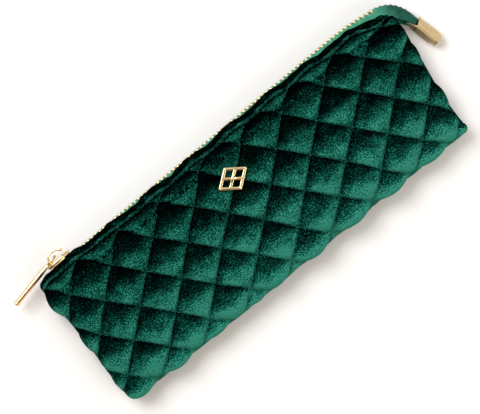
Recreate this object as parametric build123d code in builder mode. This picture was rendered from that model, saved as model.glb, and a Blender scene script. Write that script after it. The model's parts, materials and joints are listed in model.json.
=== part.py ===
"""Slim quilted velvet makeup bag with a zip along one long edge, lying on its back.

Row frame, in millimetres: +Z up, away from the table; +X along the zip, towards its free tail; +Y towards the
zip. The origin is the centre of the flat back, on the table. The zip is closed, with its slider at the -X end.
Every piece is written to its own STEP file. A side of 1 means the front panel, and -1 the back panel.
"""

from build123d import *

import math
import os

# Bag body
bag_length = 218.0
bag_width = 77.0
seam_height = 9.5  # the seam plane, where the front and back panels meet
front_rise = 12.5  # front panel above the seam plane
corner_radius = 9.0
slider_corner_radius = 14.0  # cut back, so that the pull passes it as the slider travels
front_edge_radius = 8.0
back_edge_radius = 5.0
seam_gap = 0.3  # between the two panels

# Plies of each panel, from the outside in
velvet_thickness = 1.2
wadding_thickness = 2.4
lining_thickness = 0.4
ply_gap = 0.05

# Zip, size 5: the chain closes the mouth, and a leg of tape lies along each panel
chain_y = 38.9  # middle of the teeth's thickness
tooth_pitch = 2.52
tooth_length = 1.15  # along the zip
tooth_depth = 2.2  # along Y
tooth_reach = 0.7  # past the seam plane, between the teeth of the other row
chain_half_width = 2.9
first_tooth_x = -91.7
last_tooth_x = 103.0
tape_thickness = 0.6
tape_leg_offset = 4.95  # from the seam plane to the inner face of a leg
tape_leg_end_y = 30.0
tape_start_x = -102.8
tape_end_x = 103.8
mouth_half_height = 5.6
mouth_start_x = -104.0
mouth_end_x = 118.0
mouth_bottom_y = 28.0
top_stop_x = -99.4
top_stop_inner = 1.85  # from the seam plane, so that the pull passes between the two stops

# Slider and bail
slider_x = -91.2
slider_length = 13.2
slider_width = 9.4
slider_rear_width = 7.8
plate_thickness = 1.3
plate_clearance = 0.25  # between a plate and the teeth
flange_thickness = 1.0
flange_gap = 1.1  # slot for the tape, between an upper and a lower flange
bail_x = -91.8
bail_length = 9.0
bail_height = 5.4
bail_thickness = 1.2
bail_width = 1.7
bail_tip_gap = 1.1

# Bar pull, which swings on the cross piece of its eye, under the bail
pull_y = 43.9
pull_heading = 191.5  # degrees from +X
pull_length = 31.3
pull_radius = 1.35
collar_length = 1.5
collar_radius = 1.55
eye_wire = 1.2
eye_length = 6.9
eye_width = 4.7  # close round the bail, so the bar stands out level
eye_thickness = 1.4

# Free tail of the zip, folded along its length, and its bend
tail_pivot = (113.2, 31.6, seam_height)
knuckle_radius = 3.4
knuckle_clearance = 0.3
tail_thickness = 5.6
tail_heading = -61.0
tail_tooth_count = 3

# Metal clip on the tail's end
clip_mouth = (120.7, 18.0, 7.2)
clip_heading = -75.8
clip_droop = 14.0
clip_roll = 28.0  # about its own length, with its cover turned away from the bag
clip_length = 13.6
clip_mouth_width = 4.6
clip_end_width = 5.6
clip_depth = 4.5
clip_wall = 0.7
clip_plate_thickness = 0.8
clip_tongue = 3.4
clip_screw_radius = 0.8
clip_offset = 0.35  # middle of the cover from the middle of the tape's line
clip_gap = 0.05
clip_tape_size = (2.9, 2.7)

# Ornament on the front panel, held by two prongs and a washer plate behind the wadding
ornament_x = 1.0
ornament_y = 16.7
ornament_length = 17.0
ornament_height = 13.0
ornament_bar = 1.2
ornament_thickness = 1.4
prong_spacing = 14.8
prong_radius = 0.5
washer_thickness = 0.5
washer_radius = 3.0

# Topstitching beside the zip
front_stitch_y = 34.6
back_stitch_y = 37.6
stitch_length = 2.5
stitch_pitch = 3.2
stitch_radius = 0.25
stitch_run = 194.0

front_top = seam_height + front_rise
wadding_inset = velvet_thickness + ply_gap
lining_inset = wadding_inset + wadding_thickness + ply_gap
cavity_inset = lining_inset + lining_thickness
plate_face = tooth_depth / 2 + plate_clearance  # inner face of a slider plate, from the chain's middle
side_names = {1: "front", -1: "back"}


def save(name, part):
    part.label = name
    export_step(part, os.path.join("parts", name + ".step"))


def heading_vector(heading, droop=0.0):
    """Unit vector at a heading from +X, in degrees, pointing down by droop."""
    flat = math.cos(math.radians(droop))
    x = flat * math.cos(math.radians(heading))
    y = flat * math.sin(math.radians(heading))
    return Vector(x, y, -math.sin(math.radians(droop)))


def toward_slider(corner):
    """How far a corner of the outline lies towards the closed slider."""
    return corner.Y - corner.X


def cushion_half(inset, side):
    """Solid half of the bag's outer form, smaller all round by inset."""
    depth = front_rise if side > 0 else seam_height
    edge_radius = front_edge_radius if side > 0 else back_edge_radius
    with BuildPart() as half:
        with BuildSketch(Plane.XY.offset(seam_height + side * seam_gap / 2)) as outline:
            Rectangle(bag_length - 2 * inset, bag_width - 2 * inset)
            slider_corner = outline.vertices().sort_by(toward_slider)[-1]
            fillet(slider_corner, slider_corner_radius - inset)
            other_corners = outline.vertices().sort_by(toward_slider)[:3]
            fillet(other_corners, corner_radius - inset)
        extrude(amount=side * (depth - seam_gap / 2 - inset))
        outer_face = half.faces().filter_by(Plane.XY).sort_by(Axis.Z)[-1 if side > 0 else 0]
        fillet(outer_face.edges(), edge_radius - inset)
    return half.part


def panel_ply(outer_inset, inner_inset, side):
    """One ply of a panel: a tray, open at the seam plane and cut away along the zip."""
    outer = cushion_half(outer_inset, side)
    inner = cushion_half(inner_inset, side)
    mouth_length = mouth_end_x - mouth_start_x
    mouth_depth = bag_width - mouth_bottom_y
    with BuildPart() as ply:
        add(outer)
        add(inner, mode=Mode.SUBTRACT)
        with Locations((mouth_start_x + mouth_length / 2, mouth_bottom_y + mouth_depth / 2, seam_height)):
            Box(mouth_length, mouth_depth, 2 * mouth_half_height, mode=Mode.SUBTRACT)
    return ply.part


def prong_holes(part, z):
    """The part with a hole for each prong of the ornament."""
    with BuildPart() as pierced:
        add(part)
        with Locations((ornament_x, ornament_y, z)):
            with GridLocations(prong_spacing, 0, 2, 1):
                Cylinder(prong_radius + ply_gap, 2 * cavity_inset, mode=Mode.SUBTRACT)
    return pierced.part


def zip_tape(side):
    """Tape of one row: a web behind the teeth and a leg along the panel."""
    leg_inner = seam_height + side * tape_leg_offset
    leg_outer = seam_height + side * (tape_leg_offset + tape_thickness)
    web_edge = seam_height + side * (chain_half_width + ply_gap)
    web_top = chain_y + tape_thickness / 2
    web_bottom = chain_y - tape_thickness / 2
    with BuildPart() as tape:
        with BuildSketch(Plane.YZ.offset(tape_start_x)):
            with BuildLine():
                Polyline(
                    (web_top, web_edge),
                    (web_top, leg_outer),
                    (tape_leg_end_y, leg_outer),
                    (tape_leg_end_y, leg_inner),
                    (web_bottom, leg_inner),
                    (web_bottom, web_edge),
                    close=True,
                )
            make_face()
        extrude(amount=tape_end_x - tape_start_x)
    return tape.part


def zip_teeth(side):
    """Every tooth of one row, each its own solid. The rows interlock, half a pitch apart."""
    start = first_tooth_x if side > 0 else first_tooth_x + tooth_pitch / 2
    count = int((last_tooth_x - start) / tooth_pitch) + 1
    height = chain_half_width + tooth_reach
    centre_z = seam_height + side * (chain_half_width - height / 2)
    with BuildPart() as row:
        with Locations(*[(start + i * tooth_pitch, chain_y, centre_z) for i in range(count)]):
            Box(tooth_length, tooth_depth, height)
    return row.part


def top_stop(side):
    """Metal stop on the edge of one tape, next to the closed slider."""
    with BuildPart() as stop:
        with Locations((top_stop_x, chain_y, seam_height + side * (top_stop_inner + chain_half_width) / 2)):
            Box(2.2, 2.4, chain_half_width - top_stop_inner)
        fillet(stop.edges().filter_by(Axis.Z), 0.5)
    return stop.part


def topstitch(side):
    """Row of thread stitches lying on the rounded edge of a panel, beside the zip."""
    edge_radius = front_edge_radius if side > 0 else back_edge_radius
    stitch_y = front_stitch_y if side > 0 else back_stitch_y
    centre_y = bag_width / 2 - edge_radius
    centre_z = front_top - edge_radius if side > 0 else edge_radius
    lean = math.asin((stitch_y - centre_y) / edge_radius)
    reach = edge_radius + stitch_radius + ply_gap
    row_y = centre_y + reach * math.sin(lean)
    row_z = centre_z + side * reach * math.cos(lean)
    with BuildPart() as row:
        with Locations((0, row_y, row_z)):
            with GridLocations(stitch_pitch, 0, int(stitch_run / stitch_pitch), 1):
                Cylinder(stitch_radius, stitch_length, rotation=(0, 90, 0))
    return row.part


def slider_plate():
    """Outline of a slider plate, seen along Y, with its wide nose towards -X."""
    half = slider_width / 2
    rear = slider_rear_width / 2
    nose = -slider_length / 2
    tail = slider_length / 2
    with BuildSketch() as outline:
        with BuildLine():
            Polyline(
                (nose, 0),
                (nose, 1.0),
                (nose + 1.6, half),
                (nose + 6.5, half),
                (tail - 2.0, rear),
                (tail, rear - 1.0),
                (tail, 0),
            )
            mirror(about=Plane.XZ)
        make_face()
    return outline.sketch


def slider_body():
    """Two plates joined by a wedge that parts the teeth, with flanges that hold the tapes."""
    plate = slider_plate()
    nose = -slider_length / 2
    outer_plane = Plane(origin=(slider_x, chain_y + plate_face, seam_height), x_dir=(1, 0, 0), z_dir=(0, 1, 0))
    inner_plane = Plane(origin=(slider_x, chain_y - plate_face, seam_height), x_dir=(1, 0, 0), z_dir=(0, -1, 0))
    with BuildPart() as body:
        for plane in (outer_plane, inner_plane):
            with BuildSketch(plane):
                add(plate)
            extrude(amount=plate_thickness)
        chamfer(body.faces().sort_by(Axis.Y)[-1].edges(), 0.4)
        chamfer(body.faces().sort_by(Axis.Y)[0].edges(), 0.4)
        for plane in (outer_plane, inner_plane):
            with BuildSketch(plane):
                with GridLocations(0, slider_width - flange_thickness, 1, 2):
                    Rectangle(slider_length - 6.5, flange_thickness)
            extrude(amount=flange_gap / 2 - plate_face)
        with BuildSketch(outer_plane):
            Polygon((nose + 0.8, 0), (nose + 2.6, 1.5), (nose + 5.0, 0), (nose + 2.6, -1.5), align=None)
        extrude(amount=-2 * plate_face)
    return body.part


def slider_bail():
    """Arched strap on the outer plate. Its +X end stops just short of the plate."""
    foot_y = chain_y + plate_face + plate_thickness + ply_gap
    buried = 2.0
    arch_height = bail_height + buried
    with BuildPart() as bail:
        with BuildSketch(Plane.XY.offset(seam_height)):
            with Locations((bail_x, foot_y - buried + arch_height / 2)):
                RectangleRounded(bail_length, arch_height, 2.6)
                inner_size = (bail_length - 2 * bail_thickness, arch_height - 2 * bail_thickness)
                RectangleRounded(*inner_size, 1.4, mode=Mode.SUBTRACT)
            with Locations((bail_x, foot_y - buried)):
                Rectangle(2 * bail_length, 2 * buried, mode=Mode.SUBTRACT)
            with Locations((bail_x + bail_length / 2, foot_y)):
                Rectangle(3 * bail_thickness, 2 * bail_tip_gap, mode=Mode.SUBTRACT)
        extrude(amount=bail_width / 2, both=True)
    return bail.part


def pull_bar():
    """Turned bar with a flat eye, whose cross piece lies on the turning axis."""
    along = heading_vector(pull_heading)
    across = Vector(-along.Y, along.X, 0)
    pivot = Vector(bail_x, pull_y, seam_height)
    eye_middle = pivot + along * (eye_length / 2 - eye_wire / 2)
    shank_start = eye_length - 1.5 * eye_wire
    with BuildPart() as bar:
        with BuildSketch(Plane(origin=eye_middle, x_dir=along, z_dir=across)):
            RectangleRounded(eye_length, eye_width, 1.6)
            RectangleRounded(eye_length - 2 * eye_wire, eye_width - 2 * eye_wire, 0.6, mode=Mode.SUBTRACT)
        extrude(amount=eye_thickness / 2, both=True)
        with BuildSketch(Plane(origin=pivot, x_dir=along, z_dir=across)):
            with BuildLine():
                Polyline(
                    (shank_start, 0),
                    (shank_start, 0.8),
                    (shank_start + 1.4, 0.9),
                    (shank_start + 3.6, pull_radius),
                    (pull_length - collar_length - 0.3, pull_radius),
                    (pull_length - collar_length, collar_radius),
                    (pull_length - 0.3, collar_radius),
                    (pull_length, collar_radius - 0.3),
                    (pull_length, 0),
                    close=True,
                )
            make_face()
        revolve(axis=Axis(pivot, along))
    return bar.part


def zip_tape_back():
    """Back tape, with the thick stub where both tapes leave the bag, hollowed round the tail's bend."""
    strip = zip_tape(-1)
    with BuildPart() as tape:
        add(strip)
        with BuildSketch(Plane.XY.offset(seam_height - tail_thickness / 2)):
            Polygon((104.0, 38.9), (108.6, 38.6), (111.6, 37.2), (110.4, 31.8), (104.0, 32.0), align=None)
            with Locations((tail_pivot[0], tail_pivot[1])):
                Circle(knuckle_radius + knuckle_clearance, mode=Mode.SUBTRACT)
        extrude(amount=tail_thickness)
        with Locations((103.9, chain_y - 0.15, seam_height - tape_leg_offset / 2 - 0.7)):
            Box(0.6, tape_thickness, 3.0)
    return tape.part


def clip_section(distance):
    """Plane across the clip. Its X points away from the bag and its Y out of the cover's face."""
    along = heading_vector(clip_heading, clip_droop)
    flat = heading_vector(clip_heading)
    outward = Vector(-flat.Y, flat.X, 0)
    roll = math.radians(clip_roll)
    across = outward * math.cos(roll) - along.cross(outward) * math.sin(roll)
    return Plane(origin=Vector(*clip_mouth) + along * distance, x_dir=across, z_dir=along)


def tail_tape():
    """Folded tapes, from the bend to inside the clip."""
    along = heading_vector(tail_heading)
    bend_plane = Plane(origin=tail_pivot, x_dir=(-along.Y, along.X, 0), z_dir=along)
    with BuildPart() as tape:
        with BuildSketch(bend_plane):
            RectangleRounded(2 * knuckle_radius - 0.3, tail_thickness - 0.5, 0.8)
        with BuildSketch(clip_section(-clip_tongue - 0.6)):
            with Locations((clip_offset, 0)):
                RectangleRounded(*clip_tape_size, 0.8)
        loft(ruled=True)
        with BuildSketch(clip_section(-clip_tongue - 0.6)):
            with Locations((clip_offset, 0)):
                RectangleRounded(*clip_tape_size, 0.8)
        extrude(amount=0.8 * clip_length)
        with Locations(tail_pivot):
            Cylinder(knuckle_radius, tail_thickness)
    return tape.part


def tail_teeth():
    """The joined teeth on the outer edge of the tail, each its own solid."""
    along = heading_vector(tail_heading)
    outward = Vector(-along.Y, along.X, 0)
    with BuildPart() as row:
        for i in range(tail_tooth_count):
            middle = Vector(*tail_pivot) + along * (0.5 + i * tooth_pitch)
            middle += outward * (knuckle_radius + 0.75)
            with Locations(Plane(origin=middle, x_dir=along, z_dir=(0, 0, 1))):
                Box(tooth_length, 1.2, 2 * chain_half_width - 1.4)
    return row.part


def bottom_stop():
    """Metal stop across both rows, just before the clip."""
    with BuildPart() as stop:
        with Locations(clip_section(-1.4)):
            with Locations((2.5, 0, 0)):
                Box(1.2, 2.6, 2.0)
        fillet(stop.edges(), 0.3)
    return stop.part


def end_clip_cover():
    """Tapered box of folded metal with a bevelled face, open towards the tape."""
    with BuildPart() as cover:
        with BuildSketch(clip_section(0)):
            with Locations((clip_offset, 0)):
                Rectangle(clip_mouth_width, clip_depth)
        with BuildSketch(clip_section(clip_length)):
            with Locations((clip_offset + (clip_end_width - clip_mouth_width) / 2, 0)):
                Rectangle(clip_end_width, clip_depth)
        loft()
        face_normal = clip_section(0).y_dir
        face = cover.faces().sort_by(Axis(clip_mouth, face_normal))[-1]
        chamfer(face.edges(), 0.9)
        with BuildSketch(clip_section(0)):
            with Locations((clip_offset, 0)):
                Rectangle(clip_mouth_width - 2 * clip_wall, clip_depth - 2 * clip_wall)
        extrude(amount=clip_length - clip_wall, mode=Mode.SUBTRACT)
    return cover.part


def end_clip_plate():
    """Flat plate on the side that faces the bag, with a pointed tongue along the tape."""
    centre_x = clip_offset - clip_mouth_width / 2 - clip_gap - clip_plate_thickness / 2
    with BuildPart() as plate:
        with BuildSketch(clip_section(0)):
            with Locations((centre_x, 0)):
                Rectangle(clip_plate_thickness, clip_depth - 0.6)
        extrude(amount=clip_length - 0.4)
        with BuildSketch(clip_section(0)):
            with Locations((centre_x, 0)):
                Rectangle(clip_plate_thickness, clip_depth - 0.6)
        with BuildSketch(clip_section(-clip_tongue)):
            with Locations((centre_x, 0)):
                Rectangle(clip_plate_thickness, 1.6)
        loft()
        with Locations(clip_section(2.0)):
            with Locations((centre_x, 0, 0)):
                Cylinder(
                    clip_screw_radius + ply_gap, 3 * clip_plate_thickness, rotation=(0, 90, 0), mode=Mode.SUBTRACT
                )
    return plate.part


def end_clip_screw():
    """Slotted set screw in the plate, flush with its face."""
    centre_x = clip_offset - clip_mouth_width / 2 - clip_gap - clip_plate_thickness / 2
    with BuildPart() as screw:
        with Locations(clip_section(2.0)):
            with Locations((centre_x, 0, 0)):
                Cylinder(clip_screw_radius, clip_plate_thickness, rotation=(0, 90, 0))
            with Locations((centre_x - clip_plate_thickness / 2, 0, 0)):
                Box(0.5, 2.0, 0.3, mode=Mode.SUBTRACT)
    return screw.part


def ornament():
    """Openwork lozenge lattice on two prongs that pass through the velvet and wadding."""
    half_length = ornament_length / 2
    half_height = ornament_height / 2
    hole_length = half_length / 2 - 1.1 * ornament_bar
    hole_height = half_height / 2 - 0.9 * ornament_bar
    prong_length = cavity_inset - lining_thickness + ply_gap
    corners = [(half_length, 0), (0, half_height), (-half_length, 0), (0, -half_height)]
    hole_corners = [(hole_length, 0), (0, hole_height), (-hole_length, 0), (0, -hole_height)]
    with BuildPart() as lattice:
        with BuildSketch(Plane.XY.offset(front_top + ply_gap)):
            with Locations((ornament_x, ornament_y)):
                Polygon(*corners)
                with Locations((half_length / 2, 0), (-half_length / 2, 0), (0, half_height / 2), (0, -half_height / 2)):
                    Polygon(*hole_corners, mode=Mode.SUBTRACT)
        extrude(amount=ornament_thickness)
        with BuildSketch(Plane.XY.offset(front_top + ply_gap)):
            with Locations((ornament_x, ornament_y)):
                with GridLocations(prong_spacing, 0, 2, 1):
                    Circle(prong_radius)
        extrude(amount=-prong_length)
    return lattice.part


def ornament_washer():
    """Two joined discs between the wadding and the lining, with a hole for each prong."""
    washer_top = front_top - lining_inset + ply_gap
    with BuildPart() as washer:
        with BuildSketch(Plane.XY.offset(washer_top)):
            with Locations((ornament_x, ornament_y)):
                SlotCenterToCenter(prong_spacing, 2 * washer_radius)
                with GridLocations(prong_spacing, 0, 2, 1):
                    Circle(prong_radius + ply_gap, mode=Mode.SUBTRACT)
        extrude(amount=washer_thickness)
    return washer.part


def wadding_pocket(part):
    """The front wadding with a pocket for the washer in its inner face."""
    with BuildPart() as wadding:
        add(part)
        with BuildSketch(Plane.XY.offset(front_top - lining_inset - ply_gap)):
            with Locations((ornament_x, ornament_y)):
                SlotCenterToCenter(prong_spacing, 2 * washer_radius + 0.2)
        extrude(amount=washer_thickness + 3 * ply_gap, mode=Mode.SUBTRACT)
    return wadding.part


os.makedirs("parts", exist_ok=True)

for side, side_name in side_names.items():
    velvet = panel_ply(0, velvet_thickness, side)
    wadding = panel_ply(wadding_inset, wadding_inset + wadding_thickness, side)
    lining = panel_ply(lining_inset, cavity_inset, side)
    if side > 0:
        velvet = prong_holes(velvet, front_top)
        wadding = wadding_pocket(prong_holes(wadding, front_top))
    save(side_name + "_velvet", velvet)
    save(side_name + "_wadding", wadding)
    save(side_name + "_lining", lining)
    save(side_name + "_topstitch", topstitch(side))
    save("zip_teeth_" + side_name, zip_teeth(side))
    save("zip_top_stop_" + side_name, top_stop(side))

save("zip_tape_front", zip_tape(1))
save("zip_tape_back", zip_tape_back())
save("slider_body", slider_body())
save("slider_bail", slider_bail())
save("pull_bar", pull_bar())
save("zip_tail_tape", tail_tape())
save("zip_tail_teeth", tail_teeth())
save("zip_bottom_stop", bottom_stop())
save("end_clip_cover", end_clip_cover())
save("end_clip_plate", end_clip_plate())
save("end_clip_screw", end_clip_screw())
save("ornament", ornament())
save("ornament_washer", ornament_washer())
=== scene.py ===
"""Looks of the quilted velvet makeup bag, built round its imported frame.

Lengths are in millimetres up to the moment a mesh is made.
A side of 1 is the front panel and a side of -1 the back one.
"""

import json
import math

import bpy
import numpy as np
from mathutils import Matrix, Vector


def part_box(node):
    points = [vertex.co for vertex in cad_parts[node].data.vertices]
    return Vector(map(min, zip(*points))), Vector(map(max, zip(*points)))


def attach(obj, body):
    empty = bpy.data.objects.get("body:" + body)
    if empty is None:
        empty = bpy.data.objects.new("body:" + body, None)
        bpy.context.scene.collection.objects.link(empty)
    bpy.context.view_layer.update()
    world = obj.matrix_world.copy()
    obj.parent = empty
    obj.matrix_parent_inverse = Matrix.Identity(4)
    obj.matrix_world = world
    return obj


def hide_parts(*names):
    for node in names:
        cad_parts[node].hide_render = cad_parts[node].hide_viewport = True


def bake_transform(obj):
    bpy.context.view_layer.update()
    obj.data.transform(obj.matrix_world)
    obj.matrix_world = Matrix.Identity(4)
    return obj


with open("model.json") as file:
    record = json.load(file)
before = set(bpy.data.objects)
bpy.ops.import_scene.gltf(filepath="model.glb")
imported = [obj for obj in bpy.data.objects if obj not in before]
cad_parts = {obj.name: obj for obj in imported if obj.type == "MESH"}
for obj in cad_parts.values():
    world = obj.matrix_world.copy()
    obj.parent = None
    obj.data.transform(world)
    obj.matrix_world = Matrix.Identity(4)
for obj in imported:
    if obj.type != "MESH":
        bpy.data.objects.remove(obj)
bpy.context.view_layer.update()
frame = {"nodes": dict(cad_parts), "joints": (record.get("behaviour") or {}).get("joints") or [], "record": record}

MM = 0.001
SIDE_NAMES = {1: "front", -1: "back"}


# Places taken from the frame

def millimetres(vector):
    return np.array(vector, float) / MM


def node_box(node):
    """Lowest and highest corner of a CAD node."""
    low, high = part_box(node)
    return millimetres(low), millimetres(high)


def joint_place(name):
    joint = next(joint for joint in frame["joints"] if joint["name"] == name)
    return millimetres(joint["pos_m"])


seam_height = joint_place("mouth_open")[2]
pull_pivot = joint_place("pull_swing")
velvet_corner = node_box("front_velvet")[1]
half_length = velvet_corner[0]
half_width = velvet_corner[1]
teeth_low, teeth_high = node_box("zip_teeth_front")
chain_y = (teeth_low[1] + teeth_high[1]) / 2
first_tooth = teeth_low[0] + 0.6
slider_low, slider_high = node_box("slider_body")
bail_low, bail_high = node_box("slider_bail")
ornament_low, ornament_high = node_box("ornament")
ornament_middle = (ornament_low + ornament_high) / 2

# Outline of the bag in plan
corner_radius = {(-1, -1): 11.0, (1, -1): 6.0, (-1, 1): 2.0, (1, 1): 4.5}

# Quilting: square puffs, turned so that their corners point along and across the bag
quilt_square = 17.55
quilt_angle = math.radians(-49.6)
quilt_origin = (1.85, 16.4)
puff_power = 0.7
seam_bulge = 1.2
seam_reach = 4.0  # from the seam to the part of a puff that pushes it out
puff_height = {1: 3.3, -1: 2.6}
base_rise = 7.4
crown = {1: 0.32, -1: 0.0}  # extra rise in the middle, as a share
rim_width = {1: 11.0, -1: 9.0}
rim_power = 2.4
hem_width = 3.7  # flat hem between the topstitching and the zip
grid_step = 0.64
rim_steps = 26
lining_inset = 3.6

# Zip
tooth_pitch = 2.52
tape_thickness = 0.55
cord_thickness = 0.7  # added where the teeth clamp the tape
tape_start = -101.0
tape_end = 101.5
folded_start = 101.0  # the folded tape begins inside the two open ones
folded_end = 137.0
tail_teeth_start = 102.0
gold_end = 109.0  # the last bare tooth: past it, the tape covers them
tail_path = (
    (84.0, 38.85, 9.5),
    (94.0, 38.3, 9.5),
    (103.7, 37.2, 9.5),
    (110.5, 35.7, 9.4),
    (115.9, 32.9, 9.1),
    (119.2, 28.9, 8.6),
    (121.2, 24.3, 8.0),
    (122.4, 18.8, 7.3),
)

# Pull
pull_heading = math.radians(191.5)
pull_length = 31.3

# Clip on the tail's end
clip_mouth = np.array((121.6, 18.1, 7.2))
clip_heading = math.radians(-76.8)
clip_droop = math.radians(12.0)
clip_roll = math.radians(28.0)  # its face is turned away from the bag
clip_depth = 4.4


# Small helpers

def smoothstep(low, high, x):
    t = np.clip((np.asarray(x, float) - low) / (high - low), 0, 1)
    return t * t * (3 - 2 * t)


def ripple(x, y, wavelength, seed):
    """Smooth random field, from about -1 to 1, that repeats nowhere near the bag."""
    rng = np.random.default_rng(seed)
    total = 0
    for _ in range(9):
        angle = rng.uniform(0, 2 * np.pi)
        k = 2 * np.pi / wavelength * rng.uniform(0.7, 1.4)
        total = total + np.sin(k * (x * np.cos(angle) + y * np.sin(angle)) + rng.uniform(0, 2 * np.pi))
    return total / 3.2


def unit(vectors):
    vectors = np.asarray(vectors, float)
    return vectors / np.maximum(np.linalg.norm(vectors, axis=-1, keepdims=True), 1e-9)


def smooth_curve(points, spacing):
    """Points along a curve through the given ones, about evenly spaced."""
    points = np.array(points, float)
    padded = np.vstack([2 * points[0] - points[1], points, 2 * points[-1] - points[-2]])
    t = np.linspace(0, 1, 24, endpoint=False)[:, None]
    pieces = []
    for a, b, c, d in zip(padded, padded[1:], padded[2:], padded[3:]):
        slope_b, slope_c = (c - a) / 2, (d - b) / 2
        pieces.append(
            (2 * t**3 - 3 * t**2 + 1) * b
            + (t**3 - 2 * t**2 + t) * slope_b
            + (3 * t**2 - 2 * t**3) * c
            + (t**3 - t**2) * slope_c
        )
    fine = np.vstack(pieces + [points[-1:]])
    return resample(fine, spacing)


def arc_length(points):
    return np.append(0, np.cumsum(np.linalg.norm(np.diff(points, axis=0), axis=1)))


def resample(points, spacing):
    length = arc_length(points)
    places = np.linspace(0, length[-1], max(2, int(round(length[-1] / spacing)) + 1))
    return np.stack([np.interp(places, length, points[:, i]) for i in range(points.shape[1])], axis=1)


def tangents(points):
    return unit(np.gradient(points, axis=0))


def circle(radius, count):
    angles = np.linspace(0, 2 * np.pi, count, endpoint=False)
    return radius * np.stack([np.cos(angles), np.sin(angles)], axis=1)


def rounded_rectangle(width, height, radius, steps=4):
    """Closed outline, counterclockwise, with round corners."""
    outline = []
    for quarter, (x, y) in enumerate(((1, 1), (-1, 1), (-1, -1), (1, -1))):
        middle = np.array((x * (width / 2 - radius), y * (height / 2 - radius)))
        for angle in np.linspace(0, np.pi / 2, steps) + quarter * np.pi / 2:
            outline.append(middle + radius * np.array((np.cos(angle), np.sin(angle))))
    return np.array(outline)


def new_piece(name, vertices, faces, sharp_angle=None):
    """Object from vertices in millimetres. Faces are lists of vertex numbers."""
    mesh = bpy.data.meshes.new(name)
    mesh.from_pydata((np.asarray(vertices) * MM).tolist(), [], [[int(i) for i in face] for face in faces])
    mesh.update()
    mesh.shade_smooth()
    if sharp_angle is not None:
        mesh.set_sharp_from_angle(angle=math.radians(sharp_angle))
    piece = bpy.data.objects.new(name, mesh)
    bpy.context.scene.collection.objects.link(piece)
    return piece


class Solids:
    """Several closed meshes gathered into one piece."""

    def __init__(self):
        self.vertices = []
        self.faces = []
        self.count = 0

    def add(self, vertices, faces):
        self.vertices.append(np.asarray(vertices, float))
        self.faces += [[i + self.count for i in face] for face in faces]
        self.count += len(vertices)

    def sweep(self, centres, first_axes, second_axes, sections, loop=False):
        """Skin over a row of sections. Each section is a closed outline in its own two axes."""
        centres = np.asarray(centres, float)
        first_axes = np.broadcast_to(first_axes, centres.shape)
        second_axes = np.broadcast_to(second_axes, centres.shape)
        sections = np.asarray(sections, float)
        if sections.ndim == 2:
            sections = np.repeat(sections[None], len(centres), axis=0)
        rings, count = sections.shape[:2]
        across = sections[..., :1] * first_axes[:, None]
        places = centres[:, None] + across + sections[..., 1:] * second_axes[:, None]
        faces = []
        for i in range(rings if loop else rings - 1):
            ring, following = i * count, (i + 1) % rings * count
            for j in range(count):
                k = (j + 1) % count
                faces.append((ring + j, ring + k, following + k, following + j))
        if not loop:
            faces.append(tuple(range(count))[::-1])
            faces.append(tuple((rings - 1) * count + j for j in range(count)))
        self.add(places.reshape(-1, 3), faces)

    def piece(self, name, sharp_angle=None):
        return new_piece(name, np.vstack(self.vertices), self.faces, sharp_angle)


def swept_piece(name, centres, first_axes, second_axes, sections, sharp_angle=50):
    solids = Solids()
    solids.sweep(centres, first_axes, second_axes, sections)
    return solids.piece(name, sharp_angle)


def bevelled_prism(name, outline, origin, x_axis, y_axis, depth, bevel, segments=3):
    """Solid with a flat outline and rounded edges. It reaches depth along the third axis."""
    x_axis, y_axis = unit(x_axis), unit(y_axis)
    z_axis = np.cross(x_axis, y_axis)
    flat = origin + outline[:, :1] * x_axis + outline[:, 1:] * y_axis
    count = len(outline)
    faces = [tuple(range(count))[::-1], tuple(range(count, 2 * count))]
    faces += [(i, (i + 1) % count, count + (i + 1) % count, count + i) for i in range(count)]
    piece = new_piece(name, np.vstack([flat, flat + depth * z_axis]), faces)
    return round_edges(piece, bevel, segments)


def round_edges(piece, bevel, segments):
    modifier = piece.modifiers.new("bevel", "BEVEL")
    modifier.width = bevel * MM
    modifier.segments = segments
    modifier.harden_normals = True
    modifier.limit_method = "ANGLE"
    modifier.angle_limit = math.radians(25)
    evaluated = piece.evaluated_get(bpy.context.evaluated_depsgraph_get())
    mesh = bpy.data.meshes.new_from_object(evaluated)
    piece.modifiers.clear()
    old_mesh = piece.data
    piece.data = mesh
    bpy.data.meshes.remove(old_mesh)
    mesh.name = piece.name
    return piece


def dress(piece, material):
    piece.data.materials.clear()
    piece.data.materials.append(material)


def move_with(piece, side, half):
    """The back panel's pieces ride on its body. The front halves and the tail's pieces stay fixed where they are.
    """
    if half == "tail":
        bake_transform(piece)
    elif side < 0:
        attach(piece, "back_panel")
    else:
        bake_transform(piece)


def fit_soft(piece, material, slot, side, half, *nodes):
    """Dress a piece that stands for some CAD nodes and hide those nodes. Back panel pieces ride on its body, the
    others stay fixed.
    """
    dress(piece, material)
    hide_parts(*nodes)
    move_with(piece, side, half)


# Materials

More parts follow.
